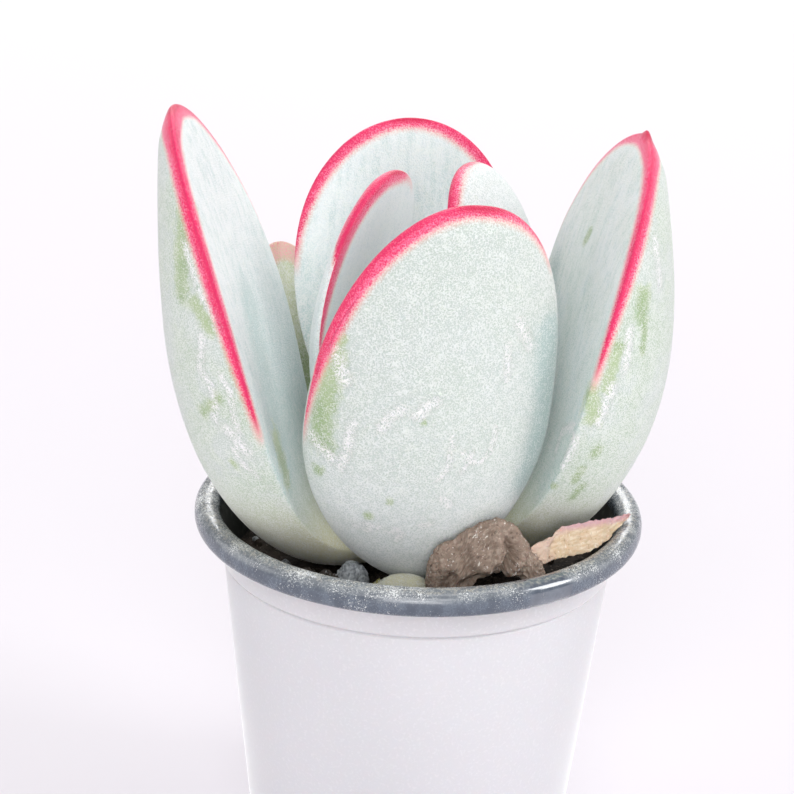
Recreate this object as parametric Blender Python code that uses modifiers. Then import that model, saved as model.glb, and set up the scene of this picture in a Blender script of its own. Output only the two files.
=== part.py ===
# Potted cotyledon: thick powdery leaves with red margins, in a small nursery pot.
# Metres, +Z up. The origin is on the pot's axis, at the middle of its underside,
# and the plant is seen from the -Y side.

import math

import bmesh
import bpy
from mathutils import Vector, noise

MM = 0.001
GAP = 0.3 * MM

# Pot: a thin tapered wall with a rolled rim and a stacking shoulder.
POT_HEIGHT = 62.0 * MM
RIM_RADIUS = 35.0 * MM
RIM_WIDTH = 3.95 * MM
RIM_DEPTH = 4.1 * MM
WALL = 1.0 * MM
WALL_RADIUS_AT_TOP = 31.3 * MM
WALL_TAPER = 0.1
SHOULDER_DROP = 9.7 * MM
SHOULDER_STEP = 0.4 * MM
FOOT_ROUND = 1.6 * MM
POT_STEPS = 48
DRAIN_HOLES = 5
DRAIN_RADIUS = 1.8 * MM
DRAIN_CIRCLE = 15.0 * MM

# Soil: a loose lumpy top, a little below the rim.
SOIL_DROP = 10.9 * MM
SOIL_LUMP = 0.55 * MM
SOIL_LUMP_SIZE = 4.5 * MM
SOIL_STEPS = 36

# A grey stone that lies on the soil, left of the front leaf.
STONE_X = -9.5 * MM
STONE_Y = -13.4 * MM
STONE_DROP = 8.9 * MM

# Stem: short and thick, with the leaf pairs set crosswise on it.
STEM_RADIUS = 3.4 * MM
STEM_TOP_RADIUS = 2.7 * MM
STEM_ROOT_DROP = 20.0 * MM
STEM_TOP_RISE = 6.0 * MM
STEM_STEPS = 24

# Leaf skins: how finely a leaf is divided around and along.
LEAF_AROUND = 24
LEAF_ALONG = 16
MARGIN = 0.95 * MM
DRY_MARGIN = 0.4 * MM

# A leaf's spine is four control points: out from the stem, sideways, and up from the rim's top,
# in mm. Azimuth is the way it grows, counter-clockwise from +X. Twist turns the blade about its
# spine, from base to tip. Widths are half widths. The belly is the swell of the outer face.
LEAVES = {
    "leaf_left": dict(
        azimuth=192.2, twist=(-14.3, -15.1),
        spine=((3.7, 0, -6.5), (25.4, 1.1, 0.2), (17.1, 3.1, 15.4), (38.4, 0, 62.6)),
        base=3.2, width=21.3, widest=0.53, swell=1.04, shoulder=1.93, tip=1.69,
        belly=12.3, belly_place=0.86, belly_sharp=0.91),
    "leaf_right": dict(
        azimuth=0.8, twist=(3.4, 10.7),
        spine=((3.7, 0, -6.5), (25.4, -0.3, 1.1), (15.6, -2.0, 22.6), (31.4, 0.6, 59.0)),
        base=3.2, width=20.7, widest=0.54, swell=1.17, shoulder=2.15, tip=1.67,
        belly=13.7, belly_place=0.96, belly_sharp=0.84),
    "leaf_front": dict(
        azimuth=-80.0, twist=(-5.2, 13.3),
        spine=((4.4, 0, -2.2), (14.3, -0.3, -11.0), (15.5, -6.9, 7.1), (26.6, 2.4, 54.4)),
        base=3.2, width=18.4, widest=0.48, swell=0.85, shoulder=2.36, tip=2.14,
        belly=5.0, belly_place=0.75, belly_sharp=0.92),
    "leaf_back": dict(
        azimuth=98.9, twist=(-0.2, 2.2),
        spine=((3.7, 0, -1.6), (18.4, 0, -3.8), (28.7, 0.4, 20.5), (24.5, -0.2, 55.1)),
        base=3.2, width=18.1, widest=0.63, swell=1.2, shoulder=2.22, tip=1.98,
        belly=5.0, belly_place=0.75, belly_sharp=0.9),
    "leaf_inner_left": dict(
        azimuth=157.2, twist=(1.1, -6.5),
        spine=((3.0, 0, 3.4), (12.6, 0, 2.7), (16.7, 1.7, 22.8), (6.3, -1.9, 51.4)),
        base=2.4, width=13.0, widest=0.58, swell=1.3, shoulder=2.23, tip=2.01,
        belly=2.6, belly_place=0.72, belly_sharp=0.96),
    "leaf_inner_right": dict(
        azimuth=-29.6, twist=(-0.9, -2.4),
        spine=((3.0, 0, 3.4), (7.3, 0, 4.2), (20.8, 0.1, 28.5), (5.5, 0.4, 54.5)),
        base=2.4, width=12.2, widest=0.6, swell=1.3, shoulder=2.2, tip=2.02,
        belly=3.1, belly_place=0.76, belly_sharp=0.89),
    "leaf_old_back": dict(
        azimuth=132.5, twist=(0, 0),
        spine=((3.7, 0, -7.0), (18.5, 0, -7.4), (28.6, 0, 3.0), (37.0, 0, 33.0)),
        base=2.4, width=9.5, widest=0.62, swell=1.2, shoulder=2.2, tip=2.0,
        belly=2.4, belly_place=0.75, belly_sharp=0.9),
    "dried_leaf_brown": dict(
        azimuth=0, twist=(70, 80), dry=0.75,
        spine=((1.8, -20.8, -4.8), (7.5, -25.0, -4.2), (12.9, -19.4, 4.2), (16.6, -15.4, -3.6)),
        base=1.6, width=4.8, widest=0.55, swell=1.0, shoulder=2.0, tip=2.0,
        belly=1.2, belly_place=0.8, belly_sharp=0.9),
    "dried_leaf_tan": dict(
        azimuth=0, twist=(40, 22), dry=0.3,
        spine=((17.5, -19.0, -8.8), (19.5, -16.5, -3.6), (26.0, -12.6, 1.9), (33.4, -4.6, 1.3)),
        base=1.2, width=2.8, widest=0.55, swell=1.0, shoulder=1.25, tip=1.3,
        belly=0.3, belly_place=0.8, belly_sharp=0.9),
}

# Base colour, metallic value and roughness of each sub-part.
COLOURS = {
    "pot": ((0.80, 0.79, 0.82, 1), 0, 0.4),
    "soil": ((0.035, 0.028, 0.024, 1), 0, 0.95),
    "stem": ((0.42, 0.45, 0.30, 1), 0, 0.7),
    "stone_grey": ((0.25, 0.26, 0.28, 1), 0, 0.9),
    "leaf": ((0.62, 0.70, 0.67, 1), 0, 0.75),
    "leaf_old_back": ((0.55, 0.58, 0.30, 1), 0, 0.7),
    "dried_leaf_brown": ((0.33, 0.23, 0.18, 1), 0, 0.85),
    "dried_leaf_tan": ((0.62, 0.46, 0.30, 1), 0, 0.8),
}


def clear_scene():
    for old in list(bpy.data.objects):
        bpy.data.objects.remove(old, do_unlink=True)


def new_collection(name):
    group = bpy.data.collections.new(name)
    bpy.context.scene.collection.children.link(group)
    return group


def new_material(name):
    colour, metallic, roughness = COLOURS.get(name, COLOURS["leaf"])
    material = bpy.data.materials.new(name)
    material.use_nodes = True
    shader = material.node_tree.nodes["Principled BSDF"]
    shader.inputs["Base Color"].default_value = colour
    shader.inputs["Metallic"].default_value = metallic
    shader.inputs["Roughness"].default_value = roughness
    return material


def add_object(name, mesh, group):
    piece = bpy.data.objects.new(name, mesh)
    group.objects.link(piece)
    mesh.materials.append(new_material(name))
    return piece


def turned(name, outline, steps, group):
    # A closed turned body from an outline that starts and ends on the axis.
    mesh = bpy.data.meshes.new(name)
    points = [(radius, 0, height) for radius, height in outline]
    mesh.from_pydata(points, [(i, i + 1) for i in range(len(points) - 1)], [])
    piece = add_object(name, mesh, group)
    screw = piece.modifiers.new("turn", "SCREW")
    screw.axis = "Z"
    screw.steps = steps
    screw.render_steps = steps
    screw.use_merge_vertices = True
    screw.merge_threshold = 0.00001
    return piece


def applied(piece):
    # The object with its modifiers made into its mesh.
    graph = bpy.context.evaluated_depsgraph_get()
    mesh = bpy.data.meshes.new_from_object(piece.evaluated_get(graph))
    piece.modifiers.clear()
    piece.data = mesh
    return piece


def wall_radius(drop):
    # Outer radius of the pot's wall at a depth below the rim's top.
    radius = WALL_RADIUS_AT_TOP - WALL_TAPER * drop
    return radius + SHOULDER_STEP if drop < SHOULDER_DROP else radius


def rim_arc(count):
    # The rolled rim's section, from its inner side over the top to its outer underside.
    middle = RIM_RADIUS - RIM_WIDTH / 2
    points = []
    for i in range(count):
        angle = math.radians(195 - 285 * i / (count - 1))
        across = math.copysign(abs(math.cos(angle)) ** 0.85, math.cos(angle))
        up = math.copysign(abs(math.sin(angle)) ** 0.85, math.sin(angle))
        points.append((middle + across * RIM_WIDTH / 2,
                       POT_HEIGHT - RIM_DEPTH / 2 + up * RIM_DEPTH / 2))
    return points


def pot_outline():
    shoulder = POT_HEIGHT - SHOULDER_DROP
    foot = wall_radius(POT_HEIGHT)
    inside = [(0, WALL), (foot - WALL - FOOT_ROUND, WALL)]
    for angle in (30, 60, 90):
        inside.append((foot - WALL - FOOT_ROUND * (1 - math.sin(math.radians(angle))),
                       WALL + FOOT_ROUND * (1 - math.cos(math.radians(angle)))))
    inside.append((wall_radius(SHOULDER_DROP + 0.5 * MM) - WALL, shoulder - 0.5 * MM))
    inside.append((wall_radius(SHOULDER_DROP - 0.5 * MM) - WALL, shoulder + 0.5 * MM))
    inside.append((wall_radius(RIM_DEPTH) - WALL, POT_HEIGHT - RIM_DEPTH))
    outside = [(wall_radius(RIM_DEPTH) + 0.2 * MM, POT_HEIGHT - RIM_DEPTH)]
    outside.append((wall_radius(SHOULDER_DROP - 0.3 * MM), shoulder + 0.3 * MM))
    outside.append((wall_radius(SHOULDER_DROP + 0.1 * MM), shoulder - 0.1 * MM))
    for angle in (90, 60, 30, 0):
        outside.append((foot - FOOT_ROUND * (1 - math.sin(math.radians(angle))),
                        FOOT_ROUND * (1 - math.cos(math.radians(angle)))))
    return inside + rim_arc(13) + outside + [(0, 0)]


def make_pot(group, cutters):
    pot = turned("pot", pot_outline(), POT_STEPS, group)
    for i in range(DRAIN_HOLES):
        angle = 2 * math.pi * (i + 0.5) / DRAIN_HOLES
        mesh = bpy.data.meshes.new(f"drain_{i}")
        shape = bmesh.new()
        bmesh.ops.create_cone(shape, cap_ends=True, segments=12, radius1=DRAIN_RADIUS,
                              radius2=DRAIN_RADIUS, depth=4 * WALL)
        shape.to_mesh(mesh)
        shape.free()
        drill = bpy.data.objects.new(f"drain_{i}", mesh)
        drill.location = (DRAIN_CIRCLE * math.cos(angle), DRAIN_CIRCLE * math.sin(angle), WALL / 2)
        drill.hide_render = True
        drill.display_type = "WIRE"
        cutters.objects.link(drill)
        cut = pot.modifiers.new(f"drain_{i}", "BOOLEAN")
        cut.operation = "DIFFERENCE"
        cut.object = drill
    return pot


def make_soil(group):
    top = POT_HEIGHT - SOIL_DROP
    hole = STEM_RADIUS + GAP
    edge = wall_radius(SOIL_DROP) - WALL - GAP
    floor = WALL + GAP
    foot = wall_radius(POT_HEIGHT) - WALL - GAP - 0.2 * MM
    outline = [(0, POT_HEIGHT - STEM_ROOT_DROP - GAP), (hole, POT_HEIGHT - STEM_ROOT_DROP - GAP)]
    rings = 8
    for i in range(rings + 1):
        outline.append((hole + (edge - hole) * i / rings, top))
    outline += [(foot, floor + FOOT_ROUND), (foot - FOOT_ROUND, floor), (0, floor)]
    soil = applied(turned("soil", outline, SOIL_STEPS, group))
    for vertex in soil.data.vertices:
        radius = math.hypot(vertex.co.x, vertex.co.y)
        if abs(vertex.co.z - top) < 0.01 * MM and hole + 0.1 * MM < radius < edge - 0.1 * MM:
            lump = noise.noise(Vector(vertex.co) / SOIL_LUMP_SIZE)
            vertex.co.z += SOIL_LUMP * max(-1, min(1, 1.6 * lump))
    return soil


def make_stem(group):
    root = POT_HEIGHT - STEM_ROOT_DROP
    neck = POT_HEIGHT + 1.2 * MM
    top = POT_HEIGHT + STEM_TOP_RISE
    outline = [(0, top), (STEM_TOP_RADIUS * 0.7, top - 0.5 * MM), (STEM_TOP_RADIUS, top - 2 * MM),
               (STEM_TOP_RADIUS, neck + 1 * MM), (STEM_RADIUS, neck - 1 * MM),
               (STEM_RADIUS, root + 2 * MM), (STEM_RADIUS * 0.7, root + 0.5 * MM), (0, root)]
    return turned("stem", outline, STEM_STEPS, group)


def spine_frame(leaf, along):
    # Place, direction, side and inward normal of a leaf's spine, in mm.
    a, b, c, d = [Vector(point) for point in leaf["spine"]]
    rest = 1 - along
    place = rest ** 3 * a + 3 * rest ** 2 * along * b + 3 * rest * along ** 2 * c + along ** 3 * d
    slope = 3 * rest ** 2 * (b - a) + 6 * rest * along * (c - b) + 3 * along ** 2 * (d - c)
    slope.normalize()
    side = Vector((0, 1, 0)) - slope.y * slope
    side.normalize()
    inward = slope.cross(side)
    return place, slope, side, inward


def spine_table(leaf, count=200):
    # Lengths along the spine at even steps of its parameter.
    lengths = [0.0]
    last = spine_frame(leaf, 0)[0]
    for i in range(1, count + 1):
        place = spine_frame(leaf, i / count)[0]
        lengths.append(lengths[-1] + (place - last).length)
        last = place
    return lengths


def at_length(lengths, part):
    # The spine parameter at a part of its length.
    wanted = part * lengths[-1]
    for i in range(1, len(lengths)):
        if lengths[i] >= wanted:
            span = max(lengths[i] - lengths[i - 1], 1e-9)
            return (i - 1 + (wanted - lengths[i - 1]) / span) / (len(lengths) - 1)
    return 1.0


def half_width(leaf, part):
    # Grows from the narrow base to the widest place, then rounds off to the tip.
    widest = leaf["widest"]
    if part < widest:
        grow = math.sin(math.pi / 2 * part / widest) ** leaf["swell"]
        return leaf["base"] + (leaf["width"] - leaf["base"]) * grow
    fall = (part - widest) / (1 - widest)
    return leaf["width"] * max(0, 1 - fall ** leaf["shoulder"]) ** (1 / leaf["tip"])


def end_rounding(part):
    base = math.sqrt(max(0, 1 - max(0, 1 - part / 0.04) ** 2))
    tip = math.sqrt(max(0, 1 - max(0, (part - 0.94) / 0.06) ** 2))
    return base, tip


def leaf_point(leaf, lengths, part, across, out):
    # A point of the leaf's skin. Part runs from base to tip, and across and out are the cosine
    # and sine around the blade: out is above zero on the inner face and below it on the outer.
    dry = leaf.get("dry", 0)
    margin = (DRY_MARGIN if dry else MARGIN) / MM
    place, _, side, inward = spine_frame(leaf, at_length(lengths, part))
    start, end = leaf["twist"]
    twist = math.radians(start + (end - start) * part)
    blade = side * math.cos(twist) + inward * math.sin(twist)
    normal = inward * math.cos(twist) - side * math.sin(twist)
    base_end, tip_end = end_rounding(part)
    ends = base_end * tip_end
    heel = 0.3 if dry else 1.6
    belly = heel * (1 - part) + 0.8 * part * (0 if dry else 1)
    belly += leaf["belly"] * math.sin(math.pi * part ** leaf["belly_place"]) ** leaf["belly_sharp"]
    crest = (0 if dry else 1.2) * (1 - part) ** 3
    cup = 0.8 * math.sin(math.pi * part)
    rise = margin * ends * math.copysign(abs(out) ** 0.6, out) + cup * across ** 2
    if out > 0:
        rise += crest * ends * out ** 2
    else:
        rise -= belly * ends * abs(out) ** 1.5
    width = half_width(leaf, part) * base_end
    if dry:
        wave = math.sin(9 * part + 2.2 * across) + 0.6 * math.sin(21 * part - 3.1 * across)
        rise += dry * ends * wave
        width *= 1 + 0.12 * math.sin(17 * part) * ends
    return place + blade * width * across + normal * rise


def make_leaf(name, leaf, group):
    # A sphere with its poles at the leaf's base and tip, drawn out over the leaf's skin.
    mesh = bpy.data.meshes.new(name)
    shape = bmesh.new()
    bmesh.ops.create_uvsphere(shape, u_segments=LEAF_AROUND, v_segments=LEAF_ALONG, radius=1)
    turn = math.radians(leaf["azimuth"])
    lengths = spine_table(leaf)
    for vertex in shape.verts:
        ring = math.hypot(vertex.co.x, vertex.co.y)
        across, out = (vertex.co.x / ring, vertex.co.y / ring) if ring > 1e-6 else (1, 0)
        part = max(0, min(1, (1 + vertex.co.z) / 2))
        point = leaf_point(leaf, lengths, part, across, out)
        vertex.co = Vector((point.x * math.cos(turn) - point.y * math.sin(turn),
                            point.x * math.sin(turn) + point.y * math.cos(turn),
                            point.z)) * MM + Vector((0, 0, POT_HEIGHT))
    if shape.calc_volume(signed=True) < 0:
        bmesh.ops.reverse_faces(shape, faces=shape.faces)
    shape.to_mesh(mesh)
    shape.free()
    return add_object(name, mesh, group)


def make_stone(group):
    mesh = bpy.data.meshes.new("stone_grey")
    shape = bmesh.new()
    bmesh.ops.create_icosphere(shape, subdivisions=2, radius=1)
    for vertex in shape.verts:
        bump = 1 + 0.22 * noise.noise(vertex.co * 1.3 + Vector((3, 1, 7)))
        vertex.co = Vector((vertex.co.x * 2.5, vertex.co.y * 2.0, vertex.co.z * 1.5)) * bump * MM
    shape.to_mesh(mesh)
    shape.free()
    stone = add_object("stone_grey", mesh, group)
    stone.location = (STONE_X, STONE_Y, POT_HEIGHT - STONE_DROP)
    return stone


def smooth(piece, angle):
    piece.data.shade_smooth()
    piece.data.set_sharp_from_angle(angle=math.radians(angle))


def main():
    clear_scene()
    group = new_collection("potted_cotyledon")
    cutters = new_collection("cutters")
    pieces = [make_pot(group, cutters), make_soil(group), make_stem(group), make_stone(group)]
    for name, leaf in LEAVES.items():
        pieces.append(make_leaf(name, leaf, group))
    for piece in pieces:
        smooth(piece, 50)


main()
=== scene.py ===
import math

import bmesh
import bpy
import numpy as np
from mathutils import Matrix, Vector, kdtree, noise


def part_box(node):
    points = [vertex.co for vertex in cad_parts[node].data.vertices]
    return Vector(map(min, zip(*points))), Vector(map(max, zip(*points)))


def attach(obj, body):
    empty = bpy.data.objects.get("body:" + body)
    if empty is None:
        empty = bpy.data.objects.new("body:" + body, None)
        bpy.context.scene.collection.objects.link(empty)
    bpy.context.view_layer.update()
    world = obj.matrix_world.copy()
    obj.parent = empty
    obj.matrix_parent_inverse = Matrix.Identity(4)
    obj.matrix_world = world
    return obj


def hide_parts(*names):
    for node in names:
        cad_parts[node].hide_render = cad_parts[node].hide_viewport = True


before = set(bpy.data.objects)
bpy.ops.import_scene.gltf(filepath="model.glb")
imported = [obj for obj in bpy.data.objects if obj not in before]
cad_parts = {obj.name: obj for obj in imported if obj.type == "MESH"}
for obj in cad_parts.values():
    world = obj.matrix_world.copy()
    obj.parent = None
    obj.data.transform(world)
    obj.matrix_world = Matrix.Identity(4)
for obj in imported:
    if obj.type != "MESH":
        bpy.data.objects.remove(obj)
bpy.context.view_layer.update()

mm = 0.001
potLow, potHigh = [Vector(corner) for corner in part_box("pot")]
soilLow, soilHigh = [Vector(corner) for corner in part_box("soil")]
rimTop = potHigh.z       # the heights below are measured from the rim's top
rimRadius = potHigh.x


def deselectAll():
    # nothing selected, so that a new primitive is alone
    bpy.ops.object.select_all(action="DESELECT")


def selectOnly(piece):
    deselectAll()
    piece.select_set(True)
    bpy.context.view_layer.objects.active = piece


def startPiece(name):
    piece = bpy.context.object
    piece.name = name
    piece.data.name = name
    return piece


def finishPiece(piece, nodes=()):
    selectOnly(piece)
    bpy.ops.object.transform_apply(location=True, rotation=True, scale=True)
    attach(piece, "root")
    for node in nodes:
        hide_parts(node)
    return piece


def shadeSmooth(piece, angle):
    selectOnly(piece)
    bpy.ops.object.shade_smooth_by_angle(angle=math.radians(angle))


# colour and nodes
def linear(hexColour):
    values = []
    for i in (1, 3, 5):
        c = int(hexColour[i:i + 2], 16) / 255
        values.append(c / 12.92 if c <= 0.04045 else ((c + 0.055) / 1.055) ** 2.4)
    return (*values, 1)


def newMaterial(name):
    material = bpy.data.materials.new(name)
    material.use_nodes = True
    return material, material.node_tree, material.node_tree.nodes["Principled BSDF"]


soft = {"interpolation_type": "SMOOTHSTEP"}
colourMix = {"data_type": "RGBA"}
times = {"operation": "MULTIPLY"}
plus = {"operation": "ADD"}
minus = {"operation": "SUBTRACT"}


def addNode(tree, kind, settings, inputs, output=0):
    # inputs are values or other nodes' outputs, in order or by socket name or number
    node = tree.nodes.new("ShaderNode" + kind)
    for name, value in settings.items():
        setattr(node, name, value)
    pairs = inputs.items() if isinstance(inputs, dict) else enumerate(inputs)
    for key, value in pairs:
        if isinstance(value, bpy.types.NodeSocket):
            tree.links.new(value, node.inputs[key])
        else:
            node.inputs[key].default_value = value
    return node.outputs[output]


def paintCoats(tree, ground, coats):
    # lays each colour over the last where its mask says
    for mask, colour in coats:
        over = linear(colour) if isinstance(colour, str) else colour
        ground = addNode(tree, "Mix", colourMix, {0: mask, 6: ground, 7: over}, 2)
    return ground


def raiseRelief(tree, coats):
    # stacks bumps: (height, depth in mm, strength)
    normal = None
    for height, depth, strength in coats:
        inputs = {"Height": height, "Distance": depth * mm, "Strength": strength}
        if normal:
            inputs["Normal"] = normal
        normal = addNode(tree, "Bump", {}, inputs)
    return normal


# leaves
# The same leaves as the solids: a spine of four points (out from the stem, sideways, up from
# the rim's top, in mm), a half width, a twist and a belly on the outer face. The red reaches
# down each margin as far as redDown says, as a part of the leaf's length from its base, and
# is redWide mm wide on each face, and tipWide wider at the tip. The young value whitens the
# powder of young leaves and is painted light as well, whitening faces that lie in shade; the
# pale base value is painted light that whitens the lower part, and the wash is green that
# shines through, on the outer face unless it is washInner. A paleRidge is a stretch (two parts
# of the length, side, face) where the red keeps to one face. The marks are lines on the skin, a
# radius in mm, a face (1 inner, -1 outer) and corners (part of the length, part of the half
# width): bare is green skin rubbed free of powder, the shade marks are painted shade, a darker
# teal film with fewer specks where shade falls, and chalk is powder pushed into a ridge.
leafValues = {
    "leaf_left": dict(
        azimuth=192.2, twist=(-14.3, -15.1),
        spine=((3.7, 0, -6.5), (25.4, 1.1, 0.2), (17.1, 3.1, 15.4), (38.4, 0, 62.6)),
        base=3.2, width=21.3, widest=0.53, swell=1.04, shoulder=1.93, tip=1.69,
        belly=12.25, bellyPlace=0.86, bellySharp=0.91,
        redDown=(0.42, 0.66), redWide=1.6, baseUp=0.36, redFull=1.0, wash=0.55, tipWide=0.9,
        bare=((1.5, -1, (0.70, 0.89), (0.659, 0.95)), (0.8, -1, (0.62, 0.99), (0.5, 1.0)),
              (1.1, -1, (0.492, 0.75), (0.526, 0.89)), (1.0, -1, (0.391, 0.85)),
              (2.6, 1, (0.40, 0.69), (0.341, 0.79)), (2.2, -1, (0.85, 0.98), (0.722, 0.79))),
        thin=((5.0, 1, (0.62, 0.2), (0.42, 0.62)),),
        chalk=((0.8, -1, (0.8, 0.92), (0.775, 0.94), (0.741, 0.94), (0.708, 0.96), (0.682, 0.98),
                (0.657, 0.98)),
               (0.8, -1, (0.639, 0.89), (0.578, 0.82), (0.552, 0.87), (0.513, 0.86), (0.482, 0.83)),
               (0.65, -1, (0.57, 0.94), (0.539, 0.96), (0.505, 0.95), (0.453, 0.94), (0.422, 0.89),
                (0.388, 0.91), (0.368, 0.95)),
               (1.1, -1, (0.463, 0.89), (0.419, 0.95)))),
    "leaf_right": dict(
        azimuth=0.8, twist=(3.4, 10.7),
        spine=((3.7, 0, -6.5), (25.4, -0.3, 1.1), (15.6, -2.0, 22.6), (31.4, 0.6, 59.0)),
        base=3.2, width=20.7, widest=0.54, swell=1.17, shoulder=2.15, tip=1.67,
        belly=13.5, bellyPlace=0.96, bellySharp=0.84, nib=0.7,
        redDown=(0.70, 0.53), redWide=1.45, baseUp=0.34, redFull=1.0, wash=0.5, tipWide=0.7,
        washInner=0.22,
        bare=((1.9, -1, (0.735, -0.9), (0.70, -0.89)), (0.8, -1, (0.682, -0.85), (0.622, -0.82)),
              (1.4, -1, (0.632, -0.97), (0.552, -0.97)), (1.8, -1, (0.537, -1.0), (0.49, -0.98)),
              (1.4, -1, (0.411, -0.92)), (0.9, -1, (0.371, -0.95), (0.341, -0.95)),
              (0.9, -1, (0.328, -0.9), (0.299, -0.91)), (0.7, -1, (0.323, -1.0)),
              (1.1, 1, (0.772, 0.19), (0.75, 0.22))),
        thin=((3.2, 1, (0.64, 0.74), (0.5, 0.42), (0.38, 0.1)),),
        chalk=((0.9, -1, (0.838, -0.89), (0.752, -0.75)), (0.9, -1, (0.667, -0.94), (0.589, -0.91)),
               (1.1, -1, (0.552, -0.95), (0.479, -0.96)),
               (0.8, 1, (0.381, -0.74), (0.419, -0.7), (0.458, -0.92), (0.435, -1.0), (0.393, -1.0),
                (0.376, -0.99)))),
    "leaf_front": dict(
        azimuth=-80.0, twist=(-5.2, 13.3),
        spine=((4.4, 0, -2.2), (14.3, -0.3, -11.0), (15.5, -6.9, 7.1), (26.6, 2.4, 54.4)),
        base=3.2, width=18.4, widest=0.48, swell=0.85, shoulder=2.36, tip=2.14,
        belly=5.0, bellyPlace=0.75, bellySharp=0.92,
        redDown=(0.84, 0.41), redWide=2.2, baseUp=0.12, redFull=0.8, wash=0.12, paintedLightBase=0.95,
        paleRidge=(0.55, 0.72, -1, -1),
        bare=((1.1, -1, (0.689, -0.9), (0.657, -0.93)),
              (2.3, -1, (0.657, -0.93), (0.594, -0.91), (0.529, -0.89), (0.492, -0.9), (0.45, -0.87)),
              (0.6, -1, (0.539, -0.16)), (0.9, -1, (0.299, -0.54)), (0.65, -1, (0.341, -0.34)),
              (1.2, -1, (0.378, -0.9))),
        thin=((3.6, -1, (0.72, 0.88), (0.5, 0.93), (0.34, 0.9)),),
        chalk=((0.9, -1, (0.518, -0.47), (0.55, -0.41), (0.565, -0.35)),
               (0.9, -1, (0.552, -0.22), (0.576, -0.16), (0.589, -0.09)),
               (0.8, -1, (0.516, -0.68), (0.469, -0.69), (0.445, -0.69), (0.404, -0.73)),
               (0.45, -1, (0.521, 0.44), (0.492, 0.45), (0.458, 0.43), (0.437, 0.37), (0.44, 0.28),
                (0.466, 0.2)),
               (0.45, -1, (0.505, 0.09), (0.469, 0.1), (0.432, 0.1), (0.401, 0.03)),
               (0.4, -1, (0.463, 0.28), (0.414, 0.22)),
               (0.5, -1, (0.257, -0.69), (0.275, -0.56), (0.273, -0.45), (0.255, -0.58)),
               (0.5, -1, (0.261, -0.37), (0.271, -0.29), (0.259, -0.23), (0.241, -0.3)),
               (0.6, -1, (0.278, -0.09), (0.287, 0.03)), (0.7, -1, (0.35, 0.1), (0.333, 0.17)),
               (0.6, -1, (0.713, 0.45), (0.632, 0.48)), (0.9, -1, (0.761, 0.54), (0.703, 0.67)),
               (1.2, -1, (0.659, -0.92), (0.607, -0.8)), (1.1, -1, (0.455, -0.94), (0.42, -0.8)))),
    "leaf_back": dict(
        azimuth=98.9, twist=(-0.2, 2.2),
        spine=((3.7, 0, -1.6), (18.4, 0, -3.8), (28.7, 0.4, 20.5), (24.5, -0.2, 55.1)),
        base=3.2, width=18.1, widest=0.63, swell=1.2, shoulder=2.22, tip=1.98,
        belly=5.0, bellyPlace=0.75, bellySharp=0.9,
        redDown=(0.60, 0.60), redWide=1.9, baseUp=0.3, redFull=0.8, wash=0.1, youngAndPaintedLight=0.4,
        bare=((4.0, -1, (0.3, 0.6), (0.38, 0.7)),), thin=((4.0, 1, (0.7, -0.8), (0.5, -0.9)),),
        chalk=()),
    "leaf_inner_left": dict(
        azimuth=157.2, twist=(1.1, -6.5),
        spine=((3.0, 0, 3.4), (12.6, 0, 2.7), (16.7, 1.7, 22.8), (6.3, -1.9, 51.4)),
        base=2.4, width=13.0, widest=0.58, swell=1.3, shoulder=2.23, tip=2.01,
        belly=2.6, bellyPlace=0.72, bellySharp=0.96,
        redDown=(0.42, 0.95), redWide=2.2, baseUp=0.3, redFull=0.72, wash=0, youngAndPaintedLight=1.1,
        paleRidge=(0.7, 0.85, 1, 1), bare=(), thin=(), chalk=()),
    "leaf_inner_right": dict(
        azimuth=-29.6, twist=(-0.9, -2.4),
        spine=((3.0, 0, 3.4), (7.3, 0, 4.2), (20.8, 0.1, 28.5), (5.5, 0.4, 54.5)),
        base=2.4, width=12.2, widest=0.6, swell=1.3, shoulder=2.2, tip=2.02,
        belly=3.1, bellyPlace=0.76, bellySharp=0.89,
        redDown=(0.90, 0.60), redWide=1.6, baseUp=0.3, redFull=0.8, wash=0, youngAndPaintedLight=0.7,
        bare=(), thin=((2.5, -1, (0.8, 0.1), (0.6, 0.3)),), chalk=()),
    "leaf_old_back": dict(
        azimuth=132.5, twist=(0, 0),
        spine=((3.7, 0, -7.0), (18.5, 0, -7.4), (28.6, 0, 3.0), (37.0, 0, 33.0)),
        base=2.4, width=9.5, widest=0.62, swell=1.2, shoulder=2.2, tip=2.0,
        belly=2.4, bellyPlace=0.75, bellySharp=0.9,
        redDown=(0.72, 0.72), redWide=3.4, baseUp=0.3, redFull=0.24, wash=0.2,
        bare=((5.0, 1, (0.6, 0)),), thin=(), chalk=()),
}
freshLeaves = [node for node in leafValues if node != "leaf_old_back"]
# how finely a leaf is divided, how it is rounded at its ends (parts of its length), its margin's
# half thickness, the body behind it at base and tip, its crest, cup and ripple, in mm
leafMesh = dict(around=128, aroundMarked=208, spineSteps=201, marginSteps=700, baseRound=0.04,
                tipRound=0.06, margin=0.95, bodyBase=1.6, bodyTip=0.8, crest=1.2, cup=0.8,
                ripple=0.1, rippleSize=8)


def spinePoint(spine, t):
    a, b, c, d = [np.array(point, float) for point in spine]
    t = t[:, None]
    return (1 - t) ** 3 * a + 3 * (1 - t) ** 2 * t * b + 3 * (1 - t) * t ** 2 * c + t ** 3 * d


def spineSlope(spine, t):
    a, b, c, d = [np.array(point, float) for point in spine]
    t = t[:, None]
    slope = (1 - t) ** 2 * (b - a) + 2 * (1 - t) * t * (c - b) + t ** 2 * (d - c)
    return slope / np.linalg.norm(slope, axis=1)[:, None]


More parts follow.
